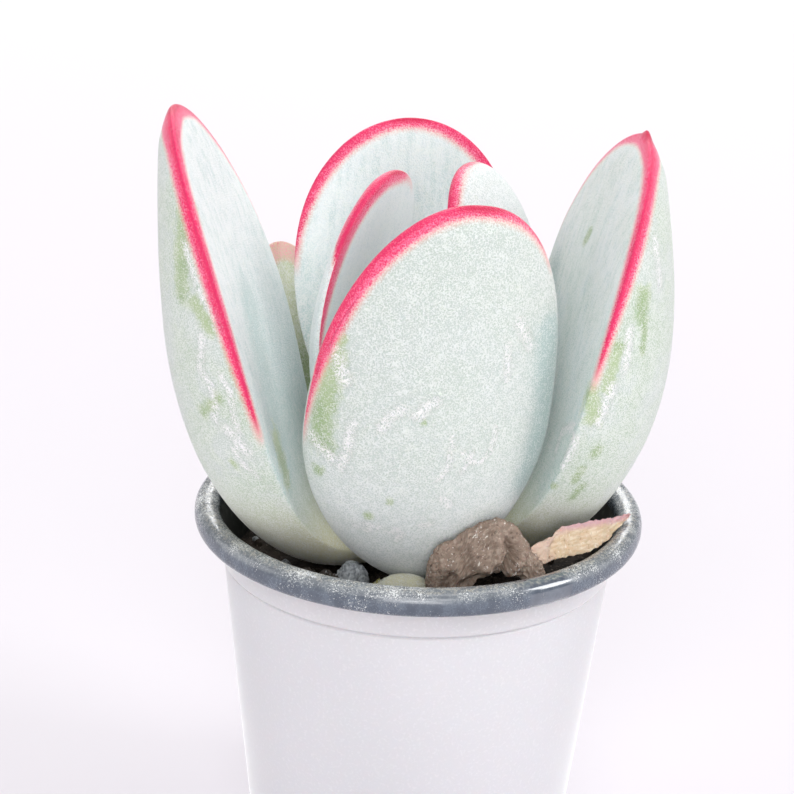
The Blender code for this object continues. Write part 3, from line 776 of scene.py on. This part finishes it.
def whitePlastic():
    # thermoformed polystyrene sheet, white outside: smooth, semi-matt, faintly uneven
    material, tree, shader = newMaterial("polystyrene, thermoformed, white")
    place = addNode(tree, "TexCoord", {}, {}, "Object")
    cloud, fine = [
        addNode(tree, "TexNoise", {}, {"Vector": place, "Scale": 1 / (size * mm), "Detail": 2})
        for size in (whiteValues["cloud"], whiteValues["fine"])]
    # painted shade: the wall is darker and greyer just under the rim, where the rim's shadow falls
    height = addNode(tree, "SeparateXYZ", {}, [place], "Z")
    seam = rimTop - potValues["rimDepth"] * mm
    thin = addNode(tree, "MapRange", soft, [height, seam - 9 * mm, seam + 2 * mm, 0, 0.5])
    colour = paintCoats(tree, linear(whiteValues["sheet"]), [
        (thin, whiteValues["thin"]),
        (addNode(tree, "MapRange", soft, [cloud, 0.3, 0.7, 0, 0.3]), whiteValues["cloudy"]),
        (addNode(tree, "MapRange", soft, [fine, 0.5, 0.75, 0, 0.25]), whiteValues["bright"])])
    tree.links.new(colour, shader.inputs["Base Color"])
    shader.inputs["Roughness"].default_value = 0.45
    shader.inputs["IOR"].default_value = 1.57
    shader.inputs["Sheen Weight"].default_value = 1.0
    shader.inputs["Sheen Roughness"].default_value = 0.35
    shader.inputs["Subsurface Weight"].default_value = 0.1
    shader.inputs["Subsurface Scale"].default_value = 2 * mm
    tree.links.new(raiseRelief(tree, [(cloud, 0.12, 0.4), (fine, 0.012, 0.5)]),
                   shader.inputs["Normal"])
    return material


def dustCover(tree, place, film):
    # 1 where dust lies, and nearly 0 in a ragged spot that was wiped clean
    across, along, down = potValues["wipedSpot"]
    spot = (across * mm, along * mm, rimTop + down * mm)
    away = addNode(tree, "VectorMath", {"operation": "DISTANCE"}, [place, spot], "Value")
    uneven = addNode(tree, "Math", plus, [away, addNode(tree, "Math", times, [
        addNode(tree, "Math", minus, [film, 0.5]), 6 * mm])])
    reach = potValues["wipedReach"] * mm
    return addNode(tree, "MapRange", soft, [uneven, 0.6 * reach, reach, 0.1, 1])


def greyPlastic():
    # the sheet's dark inner skin: semi-gloss blue-grey, its top side dulled by fine pale dust
    v = greyValues
    material, tree, shader = newMaterial("polystyrene, thermoformed, grey, dusty")
    place = addNode(tree, "TexCoord", {}, {}, "Object")
    upward = addNode(tree, "SeparateXYZ", {}, [addNode(tree, "NewGeometry", {}, {}, "Normal")], "Z")
    film, grit, speck, crumb, patch = [
        addNode(tree, "TexNoise", {}, {"Vector": place, "Scale": 1 / (size * mm), "Detail": detail,
                                       "Roughness": 0.6})
        for size, detail in ((v["filmSize"], 4), (v["gritSize"], 3), (v["speckSize"], 2),
                             (v["crumbSize"], 3), (v["patchSize"], 3))]
    # a soft grey film of dust lies on the top side
    dusty = dustCover(tree, place, film)
    topside = addNode(tree, "Math", times, [
        dusty, addNode(tree, "MapRange", soft, [upward, 0.0, 0.75, 0, 1])])
    mottle = addNode(tree, "Math", plus, [
        addNode(tree, "Math", times, [grit, 0.5]), addNode(tree, "Math", times, [film, 0.5])])
    filmed = addNode(tree, "Math", times, [
        topside, addNode(tree, "MapRange", soft, [mottle, 0.4, 0.66, 0.35, 0.85])])
    # white specks gather in patches along it
    thick = addNode(tree, "Math", plus, [
        addNode(tree, "Math", times, [topside, 0.1]),
        addNode(tree, "Math", times, [addNode(tree, "Math", minus, [patch, 0.5]), 0.6])])
    dust = addNode(tree, "MapRange", soft, [
        addNode(tree, "Math", plus, [speck, thick]), 0.66, 0.78, 0, 0.85])
    dust = addNode(tree, "Math", times, [dust, dusty])
    tan = addNode(tree, "Math", times, [
        addNode(tree, "MapRange", soft, [crumb, 0.42, 0.68, 0, 0.6]),
        addNode(tree, "MapRange", soft, [upward, 0.75, 1.0, 0, 1])])
    colour = paintCoats(tree, linear(v["sheet"]), [
        (addNode(tree, "MapRange", soft, [film, 0.35, 0.65, 0, 0.7]), v["pale"]),
        (filmed, v["film"]), (tan, v["tan"]), (dust, v["dust"])])
    tree.links.new(colour, shader.inputs["Base Color"])
    dull = addNode(tree, "Math", {"operation": "MAXIMUM"}, [
        dust, addNode(tree, "MapRange", soft, [mottle, 0.45, 0.6, 0, 0.35])])
    dull = addNode(tree, "Math", times, [dull, dusty])
    tree.links.new(addNode(tree, "MapRange", {}, [dull, 0, 1, v["gloss"], v["dull"]]),
                   shader.inputs["Roughness"])
    shader.inputs["IOR"].default_value = 1.65
    # the wiped spot shines like wet plastic
    tree.links.new(addNode(tree, "Math", minus, [1, dusty]), shader.inputs["Coat Weight"])
    shader.inputs["Coat Roughness"].default_value = v["gloss"]
    shader.inputs["Coat IOR"].default_value = 1.8
    tree.links.new(raiseRelief(tree, [(film, 0.1, 0.3), (dust, 0.06, 0.8)]), shader.inputs["Normal"])
    return material


def insideShadePlastic():
    # painted shade: the wall's inside below the rim, near black where it lies in shadow
    material, tree, shader = newMaterial("polystyrene, grey, painted shade")
    place = addNode(tree, "TexCoord", {}, {}, "Object")
    shadeNoise = addNode(tree, "TexNoise", {}, {
        "Vector": place, "Scale": 1 / (insideShadeValues["size"] * mm), "Detail": 4})
    colour = paintCoats(tree, linear(insideShadeValues["wet"]), [
        (addNode(tree, "MapRange", soft, [shadeNoise, 0.5, 0.7, 0, 0.6]), insideShadeValues["dry"])])
    tree.links.new(colour, shader.inputs["Base Color"])
    shader.inputs["Roughness"].default_value = 0.6
    tree.links.new(raiseRelief(tree, [(shadeNoise, 0.15, 0.7)]), shader.inputs["Normal"])
    return material


def drillDrains(piece):
    # the drain holes, punched through the base on a circle round its middle
    v = potValues
    for i in range(v["drains"]):
        angle = 2 * math.pi * (i + 0.5) / v["drains"]
        place = Vector((math.cos(angle), math.sin(angle), 0)) * v["drainCircle"] * mm
        deselectAll()
        bpy.ops.mesh.primitive_cylinder_add(vertices=32, radius=v["drainRadius"] * mm,
                                            depth=4 * v["wall"] * mm, location=place)
        punch = bpy.context.object
        selectOnly(piece)
        cut = piece.modifiers.new("drain", "BOOLEAN")
        cut.operation = "DIFFERENCE"
        cut.object = punch
        bpy.ops.object.modifier_apply(modifier=cut.name)
        bpy.data.objects.remove(punch)


def makePot():
    piece = latheByRings("pot_shell", potOutline(), potValues["segments"])
    drillDrains(piece)
    mesh = piece.data
    for material in (whitePlastic(), greyPlastic(), insideShadePlastic()):
        mesh.materials.append(material)
    # white outside, painted shade inside below the rim, and grey on the rim
    seam = rimTop - potValues["rimDepth"] * mm
    for face in mesh.polygons:
        radius = math.hypot(face.center.x, face.center.y)
        outward = face.normal.x * face.center.x + face.normal.y * face.center.y > 0
        below = face.center.z < seam + 0.02 * mm
        if below and (outward or face.normal.z < -0.5):
            face.material_index = 0
        elif radius < wallRadius(potValues["rimDepth"]) * mm and face.center.z < seam + 1.2 * mm:
            face.material_index = 2
        else:
            face.material_index = 1
    shadeSmooth(piece, 50)
    return finishPiece(piece, ["pot"])


# soil
soilValues = dict(segments=144, rings=46, drop=10.9, lump=0.55, lumpSize=4.5, fine=0.35,
                  fineSize=1.5, crumbs=150, grit=26, scatter=27.5, wet="#171412", damp="#3A332D",
                  dry="#463C34", fibres="#978B7E", crumbSize=1.1, fibreSize=0.45, patchSize=6)


def soilMaterial():
    # potting peat: nearly black fibres, matt and damp, with lighter dry crumbs
    v = soilValues
    material, tree, shader = newMaterial("peat, damp, crumbly")
    place = addNode(tree, "TexCoord", {}, {}, "Object")
    crumb, fibre, patch = [
        addNode(tree, "TexNoise", {}, {"Vector": place, "Scale": 1 / (size * mm), "Detail": 4,
                                       "Roughness": 0.65})
        for size in (v["crumbSize"], v["fibreSize"], v["patchSize"])]
    colour = paintCoats(tree, linear(v["wet"]), [
        (addNode(tree, "MapRange", soft, [crumb, 0.35, 0.7, 0, 1]), v["damp"]),
        (addNode(tree, "MapRange", soft, [patch, 0.45, 0.65, 0, 0.6]), v["dry"]),
        (addNode(tree, "MapRange", soft, [fibre, 0.58, 0.72, 0, 0.7]), v["fibres"])])
    tree.links.new(colour, shader.inputs["Base Color"])
    shader.inputs["Roughness"].default_value = 0.95
    shader.inputs["Specular IOR Level"].default_value = 0.2
    tree.links.new(raiseRelief(tree, [(crumb, 0.5, 0.9), (fibre, 0.2, 0.8)]), shader.inputs["Normal"])
    return material


gritValues = dict(
    stone=("pumice, grey", "#868B91", "#BDC2C7"), bark=("pine bark, dark", "#2B2624", "#5A524D"),
    moss=("dry moss, yellow green", "#8E8750", "#B9B17C"), grit=("grit, grey", "#6E7276", "#A9ADB0"),
    dusty="#D4D8DC", poreSize=0.5, fibreSize=0.6)


def gritMaterial(kind):
    # rough and porous, with pale fibres and dust
    name, dark, light = gritValues[kind]
    material, tree, shader = newMaterial(name)
    place = addNode(tree, "TexCoord", {}, {}, "Object")
    drawn = addNode(tree, "Mapping", {}, {"Vector": place, "Scale": (2.2, 1, 0.7)})
    pore, fibre = [
        addNode(tree, "TexNoise", {}, {"Vector": vector, "Scale": 1 / (size * mm), "Detail": detail})
        for vector, size, detail in ((place, gritValues["poreSize"], 4),
                                     (drawn, gritValues["fibreSize"], 3))]
    colour = paintCoats(tree, linear(dark), [
        (addNode(tree, "MapRange", soft, [pore, 0.35, 0.62, 0, 1]), light),
        (addNode(tree, "MapRange", soft, [fibre, 0.54, 0.66, 0, 0.8]), gritValues["dusty"])])
    tree.links.new(colour, shader.inputs["Base Color"])
    shader.inputs["Roughness"].default_value = 0.9
    tree.links.new(raiseRelief(tree, [(pore, 0.3, 0.9), (fibre, 0.2, 0.7)]), shader.inputs["Normal"])
    return material


def makeSoil():
    v = soilValues
    top = rimTop / mm - v["drop"]
    edge = soilHigh.x / mm
    foot = wallRadius(rimTop / mm) - potValues["wall"] - 0.5
    outline = [(0.2, top)]
    outline += [(edge * (i + 1) / v["rings"], top) for i in range(v["rings"])]
    outline += [(foot, 3.0), (foot - 1.6, soilLow.z / mm), (0.2, soilLow.z / mm)]
    piece = latheByRings("soil_bed", outline, v["segments"])
    for vertex in piece.data.vertices:
        radius = math.hypot(vertex.co.x, vertex.co.y) / mm
        if vertex.co.z / mm > top - 0.01 and radius < edge - 0.1:
            big = noise.noise(vertex.co / (v["lumpSize"] * mm))
            small = noise.noise(vertex.co / (v["fineSize"] * mm) + Vector((9, 2, 4)))
            vertex.co.z += (v["lump"] * max(-1, min(1, 1.6 * big)) + v["fine"] * small) * mm
    piece.data.materials.append(soilMaterial())
    shadeSmooth(piece, 180)
    return finishPiece(piece, ["soil"])


def scatterBits(name, count, sizes, seed, material, spread):
    # one lumpy bit modelled once, then copied, turned and set on the soil
    random = np.random.default_rng(seed)
    deselectAll()
    bpy.ops.mesh.primitive_ico_sphere_add(subdivisions=2, radius=1)
    first = startPiece(name)
    for vertex in first.data.vertices:
        vertex.co *= 1 + 0.45 * noise.noise(vertex.co * 1.4 + Vector((seed, 0, 0)))
    shape = bmesh.new()
    top = rimTop / mm - soilValues["drop"]
    for i in range(count):
        angle = random.uniform(0, 2 * math.pi)
        reach = math.sqrt(random.uniform(*spread)) * soilValues["scatter"]
        size = random.uniform(*sizes)
        turn = Matrix.Rotation(random.uniform(0, 6.3), 4, random.normal(size=3).tolist())
        stretch = Matrix.Diagonal((size * random.uniform(0.8, 1.5), size, size * 0.7, 1))
        spot = Matrix.Translation((reach * math.cos(angle), reach * math.sin(angle), top + size * 0.35))
        start = len(shape.verts)
        shape.from_mesh(first.data)
        shape.verts.ensure_lookup_table()
        move = Matrix.Scale(mm, 4) @ spot @ turn @ stretch
        for vertex in shape.verts[start:]:
            vertex.co = move @ vertex.co
    shape.to_mesh(first.data)
    shape.free()
    first.data.materials.append(material)
    shadeSmooth(first, 40)
    return finishPiece(first)


def makeLump(name, middle, half, seed, rough, material, slot, nodes=()):
    # one lump of grit or bark, its middle in mm from the rim's top centre
    deselectAll()
    bpy.ops.mesh.primitive_ico_sphere_add(subdivisions=5, radius=1)
    piece = startPiece(name)
    for vertex in piece.data.vertices:
        swell = 1 + rough * noise.noise(vertex.co * 1.3 + Vector((seed, 1, 7)))
        swell += rough * 0.45 * noise.noise(vertex.co * 5) + rough * 0.25 * noise.noise(vertex.co * 12)
        vertex.co = Vector([middle[i] + vertex.co[i] * half[i] * swell for i in range(3)]) * mm
        vertex.co.z += rimTop
    piece.data.materials.append(material)
    shadeSmooth(piece, 180)
    return finishPiece(piece, nodes)


# each lump's middle, in mm from the rim's top centre, and its half sizes
lumpValues = dict(
    stone=((-9.5, -13.4, -8.1), (2.4, 2.1, 2.5)),
    bark=(((-13.4, -15.2, -8.6), (1.9, 1.3, 2.1)), ((-16.6, -12.9, -8.9), (1.6, 1.4, 1.7)),
          ((-11.6, -17.3, -9.1), (1.3, 1.0, 1.6)), ((-6.6, -18.4, -9.4), (1.2, 1.0, 1.4)),
          ((9.3, -26.0, -8.6), (1.6, 1.2, 2.0)), ((24.5, -10.2, -9.2), (1.5, 1.5, 1.5))),
    crumb=(((-5.6, -15.8, -8.6), (0.8, 0.7, 1.6)), ((8.4, -26.2, -6.0), (0.7, 0.6, 0.7))),
    stub=((-1.6, -19.6, -7.6), (4.6, 2.3, 3.5)))


def makeStub(material):
    # the swollen foot of a leaf that has dropped off, below the front leaf
    middle, half = lumpValues["stub"]
    piece = makeLump("leaf_stub", middle, half, 21, 0.08, material, "leaf")
    count = len(piece.data.vertices)
    for field, value in (("edgeDistance", 9), ("baseEnd", 0.8), ("innerFace", -1)):
        setAttribute(piece.data, field, "FLOAT", np.full(count, value))


stemValues = dict(radius=3.4, topRadius=2.7, rootDrop=20, topRise=6, segments=64, steps=40,
                  scar=0.12, scarTurns=22, green="#A9B28A", cork="#C9C3A4", corkSize=1.2)


def stemMaterial():
    # soft green stem, turning corky
    material, tree, shader = newMaterial("succulent stem, green, corky")
    place = addNode(tree, "TexCoord", {}, {}, "Object")
    cork = addNode(tree, "TexNoise", {}, {
        "Vector": place, "Scale": 1 / (stemValues["corkSize"] * mm), "Detail": 4})
    colour = paintCoats(tree, linear(stemValues["green"]), [
        (addNode(tree, "MapRange", soft, [cork, 0.35, 0.65, 0, 1]), stemValues["cork"])])
    tree.links.new(colour, shader.inputs["Base Color"])
    shader.inputs["Roughness"].default_value = 0.75
    tree.links.new(raiseRelief(tree, [(cork, 0.2, 0.7)]), shader.inputs["Normal"])
    return material


def makeStem():
    # a short stem, ringed by old leaf scars, rounded over at its top
    v = stemValues
    height = rimTop / mm
    outline = [(0.1, height - v["rootDrop"]), (v["radius"] - 0.6, height - v["rootDrop"])]
    for i in range(v["steps"] + 1):
        part = i / v["steps"]
        scar = v["scar"] * abs(math.sin(part * v["scarTurns"]))
        radius = v["radius"] + (v["topRadius"] - v["radius"]) * part - scar
        outline.append((radius, height - v["rootDrop"] + 0.6
                        + part * (v["rootDrop"] + v["topRise"] - 1.6)))
    for angle in (20, 40, 60, 80):
        turn = math.radians(angle)
        outline.append(((v["topRadius"] - 0.15) * math.cos(turn),
                        height + v["topRise"] - 1.0 + math.sin(turn)))
    outline.append((0.1, height + v["topRise"]))
    piece = latheByRings("stem_core", outline, v["segments"])
    piece.data.materials.append(stemMaterial())
    shadeSmooth(piece, 50)
    return finishPiece(piece, ["stem"])


# camera, floor and light
# the camera looks at the rim's top from its distance in m, and is turned in degrees
cameraValues = dict(distance=0.320, elevation=23.015, pitch=20.211, yaw=-0.772, roll=2.084,
                    lens=92.34)


def makeCamera():
    v = cameraValues
    up = math.radians(v["elevation"])
    place = Vector((0, -math.cos(up), math.sin(up))) * v["distance"] + Vector((0, 0, rimTop))
    pitch, yaw, roll = [math.radians(v[key]) for key in ("pitch", "yaw", "roll")]
    ahead = Vector((math.sin(yaw) * math.cos(pitch), math.cos(yaw) * math.cos(pitch),
                    -math.sin(pitch)))
    right = Vector((math.cos(yaw), -math.sin(yaw), 0))
    top = right.cross(ahead)
    turnedRight = right * math.cos(roll) + top * math.sin(roll)
    turnedTop = top * math.cos(roll) - right * math.sin(roll)
    data = bpy.data.cameras.new("camera")
    data.lens = v["lens"]
    data.clip_start = 0.01
    camera = bpy.data.objects.new("camera", data)
    bpy.context.scene.collection.objects.link(camera)
    turn = Matrix((turnedRight, turnedTop, -ahead)).transposed().to_4x4()
    camera.matrix_world = Matrix.Translation(place) @ turn
    bpy.context.scene.camera = camera


# softboxes, round unless they are tall, in m and W, all turned to the plant's middle
lightAim = (0, 0, 0.07)
lightValues = {
    "key": dict(place=(2.3, -0.5, 1.65), size=1.0, tall=1.3, watts=27),
    "top": dict(place=(0.1, 0.2, 3.0), size=2.4, watts=26),
    "front": dict(place=(-0.1, -2.6, 1.6), size=2.2, watts=44),
    "back": dict(place=(0, 2.3, 2.0), size=2.0, watts=76),
    "low": dict(place=(0, -2.8, 0.25), size=1.6, watts=32),
    "left": dict(place=(-2.3, 0.3, 0.9), size=2.0, watts=15),
    "right": dict(place=(2.4, 0.3, 0.8), size=1.8, watts=10),
}
skyValues = dict(colour="#FBF9FC", strength=0.18)
floorValues = dict(size=6, paper="#C8C4C9", glow="#FDF9FE", strength=0.1)


def makeLights():
    for name, v in lightValues.items():
        data = bpy.data.lights.new(name, "AREA")
        data.shape = "RECTANGLE" if "tall" in v else "DISK"
        data.size = v["size"]
        data.size_y = v.get("tall", v["size"])
        data.energy = v["watts"]
        lamp = bpy.data.objects.new(name, data)
        lamp.location = v["place"]
        aim = Vector(lightAim) - Vector(v["place"])
        lamp.rotation_euler = aim.to_track_quat("-Z", "Y").to_euler()
        bpy.context.scene.collection.objects.link(lamp)
    world = bpy.data.worlds.new("studio")
    bpy.context.scene.world = world
    world.use_nodes = True
    sky = world.node_tree.nodes["Background"]
    sky.inputs["Color"].default_value = linear(skyValues["colour"])
    sky.inputs["Strength"].default_value = skyValues["strength"]
    bpy.context.scene.view_settings.view_transform = "Standard"


def makeFloor():
    # matt white paper, a little brighter than the light alone would make it
    v = floorValues
    deselectAll()
    bpy.ops.mesh.primitive_plane_add(size=v["size"], location=(0, 0, 0))
    floor = startPiece("floor")
    material, tree, shader = newMaterial("paper backdrop, white")
    shader.inputs["Base Color"].default_value = linear(v["paper"])
    shader.inputs["Roughness"].default_value = 0.9
    shader.inputs["Emission Color"].default_value = linear(v["glow"])
    shader.inputs["Emission Strength"].default_value = v["strength"]
    floor.data.materials.append(material)


print("camera, light and floor")
makeCamera()
makeLights()
makeFloor()

print("pot and soil")
makePot()
makeSoil()
makeLump("stone_lump", *lumpValues["stone"], 3, 0.2, gritMaterial("stone"), "stone_grey",
         ["stone_grey"])
barkMaterial = gritMaterial("bark")
for i, (middle, half) in enumerate(lumpValues["bark"]):
    makeLump("bark_chunk_%d" % (i + 1), middle, half, 5 + i, 0.35, barkMaterial, "soil")
mossMaterial = gritMaterial("moss")
for i, (middle, half) in enumerate(lumpValues["crumb"]):
    makeLump("moss_crumb_%d" % (i + 1), middle, half, 15 + i, 0.3, mossMaterial, "soil")
scatterBits("soil_crumbs", soilValues["crumbs"], (0.35, 1.1), 11, soilMaterial(), (0.03, 1))
scatterBits("soil_grit", soilValues["grit"], (0.4, 1.0), 12, gritMaterial("grit"),
            (0.05, 1))
makeStem()

print("leaves")
bloom = bloomMaterial("succulent leaf, powdered", bloomValues)
for node in freshLeaves:
    makeLeaf(node, bloom, node.replace("leaf", "blade"))
makeStub(bloom)
makeLeaf("leaf_old_back", bloomMaterial("succulent leaf, powdered, yellowing", bloomValues, 0.6),
         "blade_old_back")
for node in witheredValues:
    makeWithered(node, node.replace("dried_leaf", "withered"))
